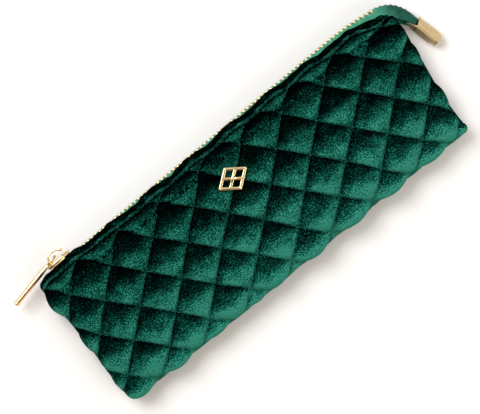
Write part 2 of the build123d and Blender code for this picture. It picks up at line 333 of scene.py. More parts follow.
class Tree:
    """Nodes of one material or world, with short ways to add and join them."""

    def __init__(self, owner):
        owner.use_nodes = True
        self.nodes = owner.node_tree.nodes
        self.links = owner.node_tree.links

    def feed(self, node, inputs):
        """Set inputs, by name or number, each to a plain value or to another node's output."""
        for key, value in inputs.items():
            if isinstance(value, bpy.types.NodeSocket):
                self.links.new(value, node.inputs[key])
            else:
                node.inputs[key].default_value = value

    def add(self, kind, inputs=None, **settings):
        node = self.nodes.new("ShaderNode" + kind)
        for key, value in settings.items():
            setattr(node, key, value)
        self.feed(node, inputs or {})
        return node

    def math(self, operation, *inputs):
        return self.add("Math", dict(enumerate(inputs)), operation=operation).outputs[0]

    def facing(self, vector, direction):
        """How far a vector points along a direction."""
        return self.add("VectorMath", {0: vector, 1: direction}, operation="DOT_PRODUCT").outputs["Value"]

    def map_range(self, value, low, high, new_low=0.0, new_high=1.0):
        inputs = {"Value": value, "From Min": low, "From Max": high, "To Min": new_low, "To Max": new_high}
        return self.add("MapRange", inputs).outputs["Result"]

    def ramp(self, value, levels):
        """Colours between levels of (position, colour)."""
        node = self.add("ValToRGB", {"Fac": value})
        stops = node.color_ramp.elements
        for stop, (position, color) in ((stops[0], levels[0]), (stops[1], levels[-1])):
            stop.position = position
            stop.color = (*color, 1)
        for position, color in levels[1:-1]:
            stops.new(position).color = (*color, 1)
        return node.outputs["Color"]

    def mix(self, factor, first, second, blend="MIX"):
        """Mix of two colours, which are inputs 6 and 7 of the node."""
        inputs = {"Factor": factor, 6: first, 7: second}
        return self.add("Mix", inputs, data_type="RGBA", blend_type=blend).outputs[2]

    def noise(self, vector, scale, detail=2.0, roughness=0.5):
        inputs = {"Vector": vector, "Scale": scale, "Detail": detail, "Roughness": roughness}
        return self.add("TexNoise", inputs).outputs["Fac"]

    def bump(self, height, distance, strength):
        inputs = {"Strength": strength, "Distance": distance * MM, "Height": height}
        return self.add("Bump", inputs).outputs["Normal"]

    def coordinates(self, kind):
        return self.add("TexCoord").outputs[kind]

    def part(self, vector, axis):
        return self.add("SeparateXYZ", {0: vector}).outputs[axis]

    def attribute(self, name):
        return self.add("Attribute", attribute_name=name).outputs["Fac"]

    def fabric(self):
        """The fabric's own coordinates, in tenths of a metre."""
        return self.add("UVMap", uv_map="fabric").outputs["UV"]

    def fabric_noise(self, stretch, scale, detail, roughness=0.5):
        """Noise on the fabric's own coordinates, in millimetres, stretched along the bag."""
        mapping = self.add("Mapping", {"Vector": self.fabric(), "Scale": (100 / stretch, 100, 100)})
        return self.noise(mapping.outputs["Vector"], scale, detail, roughness)


def new_material(name):
    material = bpy.data.materials.new(name)
    tree = Tree(material)
    return material, tree, tree.nodes["Principled BSDF"]


def velvet_material():
    """Emerald velvet.

    Its base colour holds painted sheen and shade: slopes that face -Y, the way its nap lies, are painted bright
    and the others nearly black.
    """
    material, tree, shader = new_material("emerald_velvet")
    # Painted sheen and shade: the more the surface faces -Y, the brighter its base colour on the ramp below. The
    # noise speckles it.
    painted_lighting = tree.facing(tree.add("NewGeometry").outputs["Normal"], (-0.2, -0.98, 0.0))
    speckle = tree.fabric_noise(1.3, 1.5, 2, 0.7)
    rows = tree.fabric_noise(7.0, 1.5, 1)
    cloud = tree.fabric_noise(1.2, 0.2, 3)
    for value, weight in ((speckle, 2.6), (rows, 0.35), (cloud, 0.8)):
        painted_lighting = tree.math("MULTIPLY_ADD", tree.math("SUBTRACT", value, 0.5), weight, painted_lighting)
    # Painted shade: darker across the panel towards the zip, and painted lighter on the flat hem.
    across = tree.part(tree.fabric(), "Y")
    for value, weight in ((across, -0.4), (tree.attribute("hem"), 0.3)):
        painted_lighting = tree.math("MULTIPLY_ADD", value, weight, painted_lighting)
    # Ramp of painted light: near black where shaded, bright teal where sheen is painted, and a little darker again
    # at grazing.
    levels = (
        (0.0, (0.0000, 0.0003, 0.0003)),
        (0.30, (0.0002, 0.0030, 0.0025)),
        (0.47, (0.0014, 0.0260, 0.0185)),
        (0.62, (0.0045, 0.0850, 0.0600)),
        (0.78, (0.0140, 0.1850, 0.1320)),
        (0.92, (0.0600, 0.3300, 0.2500)),
        (1.0, (0.0200, 0.2000, 0.1450)),
    )
    color = tree.ramp(tree.map_range(painted_lighting, -0.67, 0.83), levels)
    # Painted shade: the base colour is darkened in the creases along the stitched lines, where the puff is low.
    painted_crease_shade = tree.map_range(tree.attribute("puff"), 0.0, 0.3, 0.45, 1.0)
    finish = {
        "Base Color": tree.mix(1.0, color, painted_crease_shade, "MULTIPLY"),
        "Normal": tree.bump(tree.math("ADD", speckle, rows), 0.35, 0.4),
        "Roughness": 0.95,
        "Specular IOR Level": 0.005,
        "Sheen Weight": 0.006,
        "Sheen Roughness": 0.4,
        "Sheen Tint": (0.10, 0.55, 0.42, 1),
    }
    tree.feed(shader, finish)
    return material


def gold_material(name, color, rough_low, rough_high):
    """Polished plating with faint rubbed patches."""
    material, tree, shader = new_material(name)
    place = tree.coordinates("Object")
    patches = tree.noise(place, 700, 3)
    rubbed = tuple(0.94 * channel for channel in color)
    finish = {
        "Base Color": tree.ramp(patches, ((0.3, color), (0.8, rubbed))),
        "Roughness": tree.map_range(patches, 0.35, 0.65, rough_low, rough_high),
        "Normal": tree.bump(tree.noise(place, 2600, 2), 0.01, 0.04),
        "Metallic": 1.0,
    }
    tree.feed(shader, finish)
    return material


def tape_material():
    """Woven zip tape with a satin sheen: fine ribs across it, and finer ones along.

    It is painted darker where it is folded: painted shade for the satin sheen it loses round the bend.
    """
    fold_shade_start, fold_shade_end = 0.108, 0.117  # metres along the bag
    material, tree, shader = new_material("zip_tape_weave")
    place = tree.coordinates("Object")
    ribs = []
    for direction, scale in (("X", 520), ("Y", 900)):
        inputs = {"Vector": place, "Scale": scale, "Distortion": 1.2, "Detail Scale": 2.0}
        wave = tree.add("TexWave", inputs, wave_type="BANDS", bands_direction=direction)
        ribs.append(wave.outputs["Fac"])
    weave = tree.math("MULTIPLY", *ribs)
    clouds = tree.math("MULTIPLY", tree.noise(place, 420, 5, 0.7), 0.75)
    mixed = tree.math("MULTIPLY_ADD", weave, 0.45, clouds)
    open_color = tree.ramp(mixed, ((0.2, (0.010, 0.125, 0.075)), (0.7, (0.070, 0.400, 0.250))))
    # Painted shade: a darker copy of the weave's colours, for the folded tape round the bend.
    fold_shade_color = tree.ramp(mixed, ((0.3, (0.000, 0.012, 0.008)), (0.7, (0.008, 0.150, 0.095))))
    folded = tree.map_range(tree.part(place, "X"), fold_shade_start, fold_shade_end)
    finish = {
        "Base Color": tree.mix(folded, open_color, fold_shade_color),
        "Normal": tree.bump(weave, 0.12, 0.5),
        "Roughness": 0.5,
        "Specular IOR Level": 0.2,
        "Sheen Weight": 0.02,
        "Sheen Tint": (0.4, 0.9, 0.7, 1),
    }
    tree.feed(shader, finish)
    return material


def cloth_material(name, dark, light, scale, roughness):
    """Plain woven cloth or thread, with small changes of shade."""
    material, tree, shader = new_material(name)
    shade = tree.noise(tree.coordinates("Object"), scale, 4, 0.6)
    finish = {
        "Base Color": tree.ramp(shade, ((0.3, dark), (0.7, light))),
        "Normal": tree.bump(shade, 0.1, 0.4),
        "Roughness": roughness,
        "Specular IOR Level": 0.15,
    }
    tree.feed(shader, finish)
    return material


velvet = velvet_material()
gold = gold_material("pale_gold", (0.86, 0.66, 0.36), 0.10, 0.22)
tooth_gold = gold_material("tooth_gold", (0.74, 0.60, 0.36), 0.28, 0.42)
satin_gold = gold_material("satin_gold", (0.88, 0.74, 0.46), 0.42, 0.55)
steel = gold_material("washer_steel", (0.6, 0.6, 0.6), 0.25, 0.4)
# Painted shade: the set screw is given a near-black colour for the dark hole it sits in.
screw_painted_dark = gold_material("screw_painted_dark", (0.10, 0.08, 0.06), 0.4, 0.6)
tape_cloth = tape_material()
lining_cloth = cloth_material("satin_lining", (0.004, 0.040, 0.028), (0.010, 0.085, 0.060), 900, 0.42)
thread = cloth_material("green_thread", (0.002, 0.040, 0.028), (0.012, 0.150, 0.105), 2500, 0.8)
slot_materials = {
    "velvet": velvet,
    "wadding": lining_cloth,
    "lining": lining_cloth,
    "zip_tape": tape_cloth,
    "thread": thread,
    "gold_metal": gold,
    "washer_metal": steel,
}


def fit_metal(piece, body, node, material=gold):
    """Dress a metal piece. It stands for a CAD node and rides on a body."""
    dress(piece, material)
    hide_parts(node)
    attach(piece, body)


# Quilted panels

def quilt_warp(u, v):
    return 0.025 * ripple(u, v, 60, 3), 0.025 * ripple(u, v, 60, 4)


def quilt_cells(u, v):
    """Quilt coordinates: whole numbers on the stitched lines."""
    x = (u - quilt_origin[0]) / quilt_square
    y = (v - quilt_origin[1]) / quilt_square
    warp_first, warp_second = quilt_warp(u, v)
    first = x * math.cos(quilt_angle) + y * math.sin(quilt_angle) + warp_first
    second = -x * math.sin(quilt_angle) + y * math.cos(quilt_angle) + warp_second
    return first, second


def fabric_place(first, second):
    """Fabric coordinates of a place in the quilting: the inverse of quilt_cells."""
    u, v = 0 * first, 0 * second
    for _ in range(5):
        warp_first, warp_second = quilt_warp(u, v)
        a, b = first - warp_first, second - warp_second
        u = quilt_origin[0] + quilt_square * (a * math.cos(quilt_angle) - b * math.sin(quilt_angle))
        v = quilt_origin[1] + quilt_square * (a * math.sin(quilt_angle) + b * math.cos(quilt_angle))
    return u, v


def pucker(distance, along, line, seed):
    """Small gathers beside one stitched line, strongest a little way off it."""
    reach = distance / 1.5
    waves = np.sin(2 * np.pi * along / 2.6 + 2.1 * line + 1.6 * ripple(along, line * 40.0, 14, seed))
    return waves * reach * np.exp(1 - reach)


def quilt_height(u, v):
    """Height of the quilting, 0 on the stitched lines and about 1 on a puff."""
    first, second = quilt_cells(u, v)
    size = 1 + 0.1 * np.sin(12.9 * np.floor(first) + 78.2 * np.floor(second)) + 0.07 * ripple(u, v, 24, 5)
    shape = np.abs(np.sin(np.pi * first) * np.sin(np.pi * second)) ** puff_power
    gathers = 0
    for own, other, seed in ((first, second, 6), (second, first, 7)):
        line = np.round(own)
        gathers = gathers + pucker(np.abs(own - line) * quilt_square, other * quilt_square, line, seed)
    return shape * size + 0.012 * gathers + 0.02 * shape * ripple(u, v, 8.0, 8)


def rim_curve(angle):
    """Shares of the rim's width and of the rise, at an angle up the rim: 0 on the seam."""
    power = 2 / rim_power
    return 1 - np.cos(angle) ** power, np.sin(angle) ** power


def edge_angle(x):
    """Angle up the rim at which the velvet ends beside the zip. It closes on the seam at both ends."""
    closed = smoothstep(-107.5, -101.0, x)
    tail = 1 - 0.4 * smoothstep(97, 106, x)
    return math.radians(31) * closed * tail


def bulge(x, y):
    """How far the seam is pushed out past its mean line, between the places where stitched lines pinch it."""
    first, second = quilt_cells(x, y)
    return seam_bulge * (np.abs(np.sin(np.pi * first) * np.sin(np.pi * second)) ** puff_power - 0.55)


def left_edge(y):
    mean_line = -107.2 + 0.07 * np.minimum(y, 0) - 0.9 * smoothstep(8, 30, y)
    return mean_line - bulge(-half_length + seam_reach, y)


def right_edge(y):
    return 107.5 + 7.0 * smoothstep(-30, 30, y) + bulge(half_length - seam_reach, y)


def bottom_edge(x):
    return -38.4 - 1.3 * x / half_length - bulge(x, seam_reach - half_width)


def top_edge(x):
    """The reach of the velvet beside the zip. It bares the tape towards the tail."""
    mean_line = 39.3 - 1.1 * smoothstep(-90, -50, x) - 1.5 * smoothstep(45, 90, x)
    tail = 4.1 * smoothstep(90, 107, x)
    corner = 2.2 * (1 - smoothstep(-109, -101, x))
    period = quilt_square * math.sqrt(2)
    return mean_line - tail - corner - 0.4 * np.cos(2 * np.pi * (x - quilt_origin[0]) / period)


def rounded_corners(x, y):
    """A point of the plain rectangle, moved in where a corner is rounded."""
    x, y = x.copy(), y.copy()
    for (side_x, side_y), radius in corner_radius.items():
        du = side_x * x - (half_length - radius)
        dv = side_y * y - (half_width - radius)
        corner = (du > 0) & (dv > 0)
        new_u = du * np.sqrt(np.maximum(1 - dv**2 / (2 * radius**2), 0))
        new_v = dv * np.sqrt(np.maximum(1 - du**2 / (2 * radius**2), 0))
        x = np.where(corner, side_x * (half_length - radius + new_u), x)
        y = np.where(corner, side_y * (half_width - radius + new_v), y)
    return x, y


def edge_share(place, start):
    """Share of an edge's shift that a place follows: none before the start, and all on the edge."""
    return smoothstep(start, 1.1, place) / smoothstep(start, 1.1, 1)


def plan(x, y):
    """A point of the plain rectangle, moved into the bag's outline."""
    x, y = rounded_corners(*np.broadcast_arrays(x, y))
    new_x = x + (left_edge(y) + half_length) * edge_share(-x / half_length, 0.8)
    new_x += (right_edge(y) - half_length) * edge_share(x / half_length, 0.86)
    new_y = y + (bottom_edge(x) + half_width) * edge_share(-y / half_width, 0.2)
    new_y += (top_edge(x) - half_width) * edge_share(y / half_width, 0.2)
    return new_x, new_y


def seam_curve(x, y):
    """Height of the side seam, which sinks a little at the ends and along the bottom."""
    return seam_height - 1.0 * (x / half_length) ** 4 - 0.6 * smoothstep(0, -half_width, y)


class Panel:
    """Fabric of one panel, as a grid of points from end to end and from the bottom seam to the zip."""

    def __init__(self, side, inset=0.0, step=grid_step, steps=rim_steps):
        self.side = side
        self.rim = rim_width[side]
        self.rise = base_rise - inset
        edge_inset = inset * 0.4
        self.angles = np.linspace(0, np.pi / 2, steps)
        place_u, height_u, self.fabric_u = self.axis(half_length - edge_inset, step)
        place_v, height_v, self.fabric_v = self.axis(half_width - edge_inset, step)
        x, y = np.meshgrid(place_u, place_v, indexing="ij")
        height = height_u[:, None] * height_v[None, :]
        start = edge_angle(place_u)[:, None]
        zip_angles = start + (np.pi / 2 - start) * (self.angles[::-1][None, :] / (np.pi / 2))
        zip_inward, zip_lift = rim_curve(zip_angles)
        y[:, -steps:] = half_width - edge_inset - self.rim * (zip_inward - zip_inward[:, -1:])
        height[:, -steps:] = height_u[:, None] * zip_lift
        dome = 1 + crown[side] * (1 - np.abs(x / half_length) ** 4) * (1 - (y / half_width) ** 2)
        plan_x, plan_y = plan(x, y)
        seam = seam_curve(plan_x, plan_y)
        rise = self.rise if side > 0 else seam - (seam_height - self.rise)
        self.points = np.stack([plan_x, plan_y, seam + side * rise * height * dome], axis=2)
        u, v = np.meshgrid(self.fabric_u, self.fabric_v, indexing="ij")
        self.fabric = np.stack([u, v], axis=2)
        self.puff = np.zeros(x.shape)
        self.hem = np.zeros(x.shape)

    def axis(self, half, step):
        """Places, heights and lengths of fabric along one axis, from seam to seam."""
        inner = half - self.rim
        inward, lift = rim_curve(self.angles)
        steps = np.hypot(np.diff(inward * self.rim), np.diff(lift * self.rise))
        lengths = np.append(np.cumsum(steps[::-1])[::-1], 0)
        flat = np.linspace(-inner, inner, int(inner / step) * 2 + 1)[1:-1]
        place = np.concatenate([-half + self.rim * inward, flat, (half - self.rim * inward)[::-1]])
        height = np.concatenate([lift, np.ones(len(flat)), lift[::-1]])
        fabric = np.concatenate([-inner - lengths, flat, (inner + lengths)[::-1]])
        return place, height, fabric

    def normals(self):
        """Unit normals of the grid, pointing out of the bag."""
        along = np.gradient(self.points, axis=0)
        across = np.gradient(self.points, axis=1)
        return unit(np.cross(along, across)) * self.side

    def quilt(self):
        """Raise the puffs between the stitched lines, and leave a hem beside the zip."""
        u, v = self.fabric[..., 0], self.fabric[..., 1]
        pinned = smoothstep(0, 6.5, u - self.fabric_u[0]) * smoothstep(0, 6.5, self.fabric_u[-1] - u)
        pinned = pinned * smoothstep(0, 6.5, v - self.fabric_v[0])
        self.to_zip = top_edge(self.points[..., 0]) - self.points[..., 1]
        from_stitch = self.to_zip - hem_width
        hem = 1 - smoothstep(-0.8, 2.0, from_stitch)
        groove = 0.22 * np.exp(-((from_stitch / 0.6) ** 2))
        ridges = 0.07 * np.exp(-(((np.abs(from_stitch) - 1.1) / 0.6) ** 2))
        self.puff = quilt_height(u, v) * (1 - 0.75 * hem) + 0.06 * hem * ripple(u, v, 5.0, 11)
        self.puff = (self.puff + ridges - groove) * pinned
        self.hem = hem
        self.points = self.points + self.normals() * (self.puff * puff_height[self.side])[..., None]
        if self.side < 0:
            height = self.points[..., 2]
            pressed = 0.1 + 0.5 * np.exp((np.minimum(height, 0.6) - 0.6) / 0.5)
            self.points[..., 2] = np.where(height < 0.6, pressed, height)
        self.outward = self.normals()

    def turn_edge(self):
        """Turn the edge beside the zip under."""
        edge = self.points[:, -1]
        gap = edge[:, 2] - seam_curve(edge[:, 0], edge[:, 1])
        rows = []
        for inward, down in ((-0.2, 0.45), (0.3, 0.95), (1.3, 1.15), (3.2, 1.0)):
            row = edge.copy()
            row[:, 1] -= inward
            row[:, 2] -= np.sign(gap) * np.minimum(down, np.abs(gap) * 0.5)
            rows.append(row[:, None])
        count = len(rows)
        hidden = self.fabric[:, -1:] + np.array([0, 1.0]) * np.arange(1, count + 1)[None, :, None]
        self.points = np.concatenate([self.points, *rows], axis=1)
        self.fabric = np.concatenate([self.fabric, hidden], axis=1)
        self.puff = np.pad(self.puff, ((0, 0), (0, count)))
        self.hem = np.pad(self.hem, ((0, 0), (0, count)), mode="edge")

    def piece(self, name, rows=slice(None)):
        """A piece of some rows. It keeps the whole grid's normals, so that two pieces meet unseen."""
        points, fabric = self.points[rows], self.fabric[rows]
        count, width = points.shape[:2]
        i, j = np.meshgrid(np.arange(count - 1), np.arange(width - 1), indexing="ij")
        corner = (i * width + j).ravel()
        faces = np.stack([corner, corner + width, corner + width + 1, corner + 1], axis=1)
        piece = new_piece(name, points.reshape(-1, 3), faces if self.side > 0 else faces[:, ::-1])
        mesh = piece.data
        corners = np.zeros(len(mesh.loops), int)
        mesh.loops.foreach_get("vertex_index", corners)
        layer = mesh.uv_layers.new(name="fabric")
        layer.data.foreach_set("uv", (fabric.reshape(-1, 2)[corners] * 0.01).astype(np.float32).ravel())
        for label, values in (("puff", self.puff[rows]), ("hem", self.hem[rows])):
            attribute = mesh.attributes.new(label, "FLOAT", "POINT")
            attribute.data.foreach_set("value", values.astype(np.float32).ravel())
        mesh.normals_split_custom_set_from_vertices(self.normals()[rows].reshape(-1, 3).tolist())
        return piece

    def halves(self):
        """Rows of the front's left and right half, which share the middle one. The back stays whole."""
        if self.side < 0:
            return (("whole", slice(None)),)
        middle = int(np.argmin(np.abs(self.fabric_u)))
        return (("left", slice(0, middle + 1)), ("right", slice(middle, None)))

    def hem_line(self, u):
        """Fabric coordinates of the topstitching, at places along it."""
        rows = [np.interp(hem_width, column[::-1], self.fabric_v[::-1]) for column in self.to_zip]
        return np.interp(u, self.fabric_u, rows)

    def surface(self, u, v, lift):
        """Points over the fabric at places in its own coordinates."""
        i = np.interp(u, self.fabric_u, np.arange(len(self.fabric_u)))
        j = np.interp(v, self.fabric_v, np.arange(len(self.fabric_v)))
        i0 = np.minimum(i.astype(int), len(self.fabric_u) - 2)
        j0 = np.minimum(j.astype(int), len(self.fabric_v) - 2)
        s, t = (i - i0)[..., None], (j - j0)[..., None]
        grid = self.points + self.outward * lift
        low = grid[i0, j0] * (1 - s) + grid[i0 + 1, j0] * s
        high = grid[i0, j0 + 1] * (1 - s) + grid[i0 + 1, j0 + 1] * s
        return low * (1 - t) + high * t


def lay_stitch(solids, line, radius):
    """One stitch: a short thread that dives into the cloth at both ends."""
    along = tangents(line)
    side = unit(np.cross(along, (0, 0, 1)))
    up = np.cross(side, along)
    share = np.array([0.45, 0.9, 1.0, 0.9, 0.45])[:, None, None]
    solids.sweep(line, side, up, circle(radius, 6)[None] * share)


def quilt_stitches(panel):
    """Lines of fabric coordinates, one for each stitch in the quilting's channels."""
    pitch, length = 3.0 / quilt_square, 2.2 / quilt_square
    starts = np.arange(-9, 9, pitch)
    lines = []
    for number in range(-9, 10):
        for start in starts:
            along = start + np.linspace(0, length, 5)
            for first, second in ((np.full(5, float(number)), along), (along, np.full(5, float(number)))):
                u, v = fabric_place(first, second)
                inside = (np.abs(u) < panel.fabric_u[-1] - 4) & (v > panel.fabric_v[0] + 4)
                if np.all(inside & (v < panel.fabric_v[-1] - hem_width - 1.5)):
                    lines.append((u, v))
    return lines


def hem_stitches(panel):
    """One row beside the zip."""
    pitch, length = 3.2, 2.5
    lines = []
    for start in np.arange(-98, 97, pitch):
        u = start + np.linspace(0, length, 5)
        lines.append((u, panel.hem_line(u)))
    return lines


def build_stitches(panel, side):
    gathered = {half: Solids() for half in ("left", "right", "whole")}
    for lines, radius in ((quilt_stitches(panel), 0.15), (hem_stitches(panel), 0.2)):
        for u, v in lines:
            half = "whole" if side < 0 else "left" if u[0] < 0 else "right"
            lay_stitch(gathered[half], panel.surface(u, v, 0.02), radius)
    for half, solids in gathered.items():
        if solids.count:
            piece = solids.piece(SIDE_NAMES[side] + "_stitching_" + half)
            fit_soft(piece, thread, "thread", side, half, SIDE_NAMES[side] + "_topstitch")


def build_panel(side):
    """Velvet and lining of one panel. The front one is in two halves."""
    name = SIDE_NAMES[side]
    outer = Panel(side)
    outer.quilt()
    build_stitches(outer, side)
    outer.turn_edge()
    inner = Panel(side, lining_inset, 2.2, 12)
    for half, rows in outer.halves():
        piece = outer.piece(f"{name}_quilting_{half}", rows)
        fit_soft(piece, velvet, "velvet", side, half, name + "_velvet", name + "_wadding")
    for half, rows in inner.halves():
        piece = inner.piece(f"{name}_lining_sheet_{half}", rows)
        fit_soft(piece, lining_cloth, "lining", side, half, name + "_lining")


# Zip

def chain_path(start, end, spacing=0.7):
    """Middle line of the chain between two places along it, each an arc length from x = 0."""
    bend = smooth_curve(tail_path, 0.25)
    straight = np.array([[-104.0, chain_y, seam_height], [60.0, chain_y, seam_height]])
    whole = resample(np.vstack([straight, bend]), 0.25)
    length = arc_length(whole) + whole[0, 0]
    places = np.linspace(start, end, int((end - start) / spacing) + 1)
    return places, np.stack([np.interp(places, length, whole[:, i]) for i in range(3)], axis=1)


def chain_axes(path, places):
    """Unit vectors into the bag and up, which roll over towards the clip."""
    along = tangents(path)
    inward = unit(np.cross(along, (0, 0, 1)))
    up = np.cross(inward, along)
    roll = (clip_roll * smoothstep(116, 137, places))[:, None]
    return inward * np.cos(roll) + up * np.sin(roll), up * np.cos(roll) - inward * np.sin(roll)


def tape_profile(height, leg, start, radius=2.2):
    """Middle line of one tape in section: up from the chain, round a bend and into the bag."""
    radius = min(radius, height - start - 0.2)
    bend = np.linspace(0, np.pi / 2, 7)
    rise = np.linspace(start, height - radius, 3)[:-1]
    run = np.linspace(radius, leg, 4)[1:]
    inward = np.concatenate([0 * rise, radius * (1 - np.cos(bend)), run])
    up = np.concatenate([rise, height - radius + radius * np.sin(bend), height + 0 * run])
    return np.stack([inward, up], axis=1)


def thick_line(line, thickness):
    """Closed outline round an open line. The thickness is one number, or one for each point."""
    along = tangents(line)
    side = np.stack([-along[:, 1], along[:, 0]], axis=1) * np.reshape(thickness, (-1, 1)) / 2
    return np.vstack([line + side, (line - side)[::-1]])


def tape_size(place):
    """Height of a tape above the seam plane, and the length of its leg."""
    narrow = smoothstep(86, 112, place)
    bend = smoothstep(111, 119, place) - 1.5 * smoothstep(125, 135, place)
    return 3.5 - 1.2 * narrow, 6.5 - 2.3 * narrow + 1.2 * bend


def build_tapes():
    """The open tapes. Their height wavers a little along the bag."""
    parts = ((1, "left", tape_start, 0), (1, "right", 0, tape_end), (-1, "whole", tape_start, tape_end))
    for side, half, start, end in parts:
        places, path = chain_path(start, end)
        sections = []
        for place in places:
            height, leg = tape_size(place)
            height = height + 0.12 * math.sin(0.31 * place) + 0.08 * math.sin(0.83 * place)
            line = tape_profile(height, leg, 0.3)
            cord = 1.0 - smoothstep(1.0, 2.0, arc_length(line))
            section = thick_line(line, tape_thickness + cord_thickness * cord) * (1, side)
            sections.append(section if side > 0 else section[::-1])
        name = SIDE_NAMES[side]
        piece = swept_piece(f"zip_tape_{name}_{half}", path, *chain_axes(path, places), sections)
        fit_soft(piece, tape_cloth, "zip_tape", side, half, "zip_tape_" + name)


def build_tail_tape():
    """Both tapes folded together round the last teeth, which show as bumps on the outer edge."""
    places, path = chain_path(folded_start, folded_end, 0.35)
    sections = []
    for place in places:
        height, leg = tape_size(place)
        height -= 0.7 * smoothstep(124, 136, place)
        upper = tape_profile(height, leg, 0.0, 1.5)
        peek = 0.6 * smoothstep(110, 118, place) * (1 - smoothstep(128, 134, place))
        lower = tape_profile(height, leg + peek, 0.0, 1.5) * (1, -1)
        line = np.vstack([lower[::-1], upper[1:]])
        bump = max(0.0, math.cos(2 * math.pi * (place - first_tooth) / tooth_pitch))
        bump *= 0.4 * smoothstep(104, 108, place) * (1 - smoothstep(124, 128, place))
        line[:, 0] -= (0.7 + bump) * np.exp(-(line[:, 1] / 1.4) ** 2) * smoothstep(103, 107, place)
        sections.append(thick_line(line, tape_thickness))
    piece = swept_piece("folded_tail_tape", path, *chain_axes(path, places), sections)
    fit_soft(piece, tape_cloth, "zip_tape", 1, "tail", "zip_tail_tape")


def tooth_solid(solids, place, axes, side):
    """One moulded tooth: two legs clamped on the tape, and a rounded head past the seam plane."""
    inward, up = axes
    along = np.cross(up, inward)
    stations = np.array([-0.75, -0.6, 0.1, 0.8, 1.6, 2.5, 2.85])
    half_x = np.array([0.25, 0.60, 0.62, 0.52, 0.85, 0.86, 0.5])
    half_y = np.array([0.45, 0.80, 0.86, 0.92, 1.08, 1.08, 0.7])
    outline = rounded_rectangle(2, 2, 0.75, 3)
    sections = outline[None] * np.stack([half_x, half_y], axis=1)[:, None]
    centres = place + stations[:, None] * up * side
    solids.sweep(centres, along * side, -inward, sections)


def chain_part(place, side):
    """The part of the chain that a tooth belongs to."""
    if place > tail_teeth_start:
        return "tail"
    if side < 0:
        return "whole"
    return "right" if place > 0 else "left"


def build_teeth():
    for side in (1, -1):
        solids = {part: Solids() for part in ("left", "right", "whole", "tail")}
        start = first_tooth if side > 0 else first_tooth + tooth_pitch / 2
        for place in np.arange(start, gold_end, tooth_pitch):
            places, path = chain_path(place - 0.5, place + 0.5, 0.5)
            inward, up = chain_axes(path, places)
            tooth_solid(solids[chain_part(place, side)], path[1], (inward[1], up[1]), side)
        name = SIDE_NAMES[side]
        for part, gathered in solids.items():
            if not gathered.count:
                continue
            node = "zip_tail_teeth" if part == "tail" else "zip_teeth_" + name
            piece = gathered.piece(f"teeth_{name}_{part}")
            fit_soft(piece, tooth_gold, "gold_metal", side, part, node)


def build_top_stops():
    """A metal clamp on the end of each row of teeth."""
    for side, half in ((1, "left"), (-1, "whole")):
        name = SIDE_NAMES[side]
        low, high = node_box("zip_top_stop_" + name)
        centre = (low + high) / 2 - (0, 0.5, 0)
        reach = (high[0] - low[0]) / 2
        stations = np.array([-1.0, -0.85, -0.3, 0.3, 0.85, 1.0])[:, None] * (reach, 0, 0)
        share = np.array([0.7, 0.95, 1.0, 1.0, 0.95, 0.7])[:, None, None]
        section = rounded_rectangle(high[1] - low[1] - 0.6, high[2] - low[2], 0.4)
        sections = section[None] * share
        piece = swept_piece("top_stop_clamp_" + name, centre + stations, (0, 1, 0), (0, 0, 1), sections)
        fit_soft(piece, gold, "gold_metal", side, half, "zip_top_stop_" + name)


# Slider, bail and pull

def build_slider():
    """Two plates seen edge-on from above, joined at the nose, with a lug for each end of the bail."""
    nose, tail = slider_low[0] - 0.6, slider_high[0]
    half = (slider_high[2] - slider_low[2]) / 2
    plate_thickness = 1.3

    def add(label, outline, y, depth, bevel):
        origin = np.array((0.0, y, seam_height))
        piece = bevelled_prism("slider_" + label, outline, origin, (1, 0, 0), (0, 0, 1), depth, bevel)
        fit_metal(piece, "slider", "slider_body")

    lower = [
        (nose, -1.6), (nose + 1.0, 0.5 - half), (nose + 2.2, -half), (nose + 6.5, -half),
        (tail - 2.2, 0.84 - half), (tail - 0.5, 1.5 - half), (tail, -1.8),
    ]
    outline = np.array(lower + [(x, -z) for x, z in reversed(lower)])
    for name, y in (("outer", slider_high[1]), ("inner", slider_low[1] + plate_thickness)):
        add("plate_" + name, outline, y, plate_thickness, 0.42)
    wedge = np.array(
        [(nose + 0.6, -1.3), (nose + 3.2, -1.3), (nose + 4.8, 0), (nose + 3.2, 1.3), (nose + 0.6, 1.3)]
    )
    add("wedge", wedge, slider_high[1] - 0.6, slider_high[1] - slider_low[1] - 1.2, 0.3)
    for side in (1, -1):
        flange = np.array([(nose + 3.4, -0.5), (tail - 3.4, -0.5), (tail - 3.4, 0.5), (nose + 3.4, 0.5)])
        flange = flange + (0, side * (half - 1.05))
        for name, y in (("outer", chain_y + 1.5), ("inner", chain_y - 0.6)):
            add(f"flange_{name}_{SIDE_NAMES[side]}", flange, y, 0.9, 0.2)
    lugs = (
        ("nose", bail_low[0] + 0.8, 2.4, 1.1),
        ("tip", bail_high[0] - 0.5, 2.2, 0.9),
        ("tail", tail - 1.1, 1.5, 0.7),
    )
    for name, x, length, rise in lugs:
        lug = rounded_rectangle(length, 3.2, 0.6) + (x, 0)
        add("lug_" + name, lug, slider_high[1] + rise, rise + 0.4, 0.28)


def build_bail():
    """Arched strap that rises from the nose and ends in a free rounded tip."""
    left, right, top = bail_low[0] + 0.55, bail_high[0] - 0.3, bail_high[1] - 0.6
    foot = slider_high[1] + 0.2
    route = (
        (left + 0.7, foot), (left + 0.05, foot + 1.9), (left + 0.5, top - 1.4), (left + 2.0, top - 0.25),
        (left + 4.2, top), (right - 1.6, top - 0.5), (right - 0.3, top - 1.6), (right + 0.1, top - 2.6),
    )
    path = smooth_curve([(x, y, seam_height) for x, y in route], 0.3)
    along = tangents(path)
    outward = np.cross(along, (0, 0, 1))
    share = np.linspace(0, 1, len(path))
    swelling = 0.5 * smoothstep(0.8, 0.93, share)
    close = np.sqrt(np.clip(1 - ((share - 0.93) / 0.07).clip(0, 1) ** 2, 0.02, 1))
    size = np.stack([(1.05 + swelling) * close, (1.9 + swelling) * close], axis=1)
    sections = rounded_rectangle(1, 1, 0.3)[None] * size[:, None]
    fit_metal(swept_piece("arched_bail", path, outward, (0, 0, 1), sections), "slider", "slider_bail")


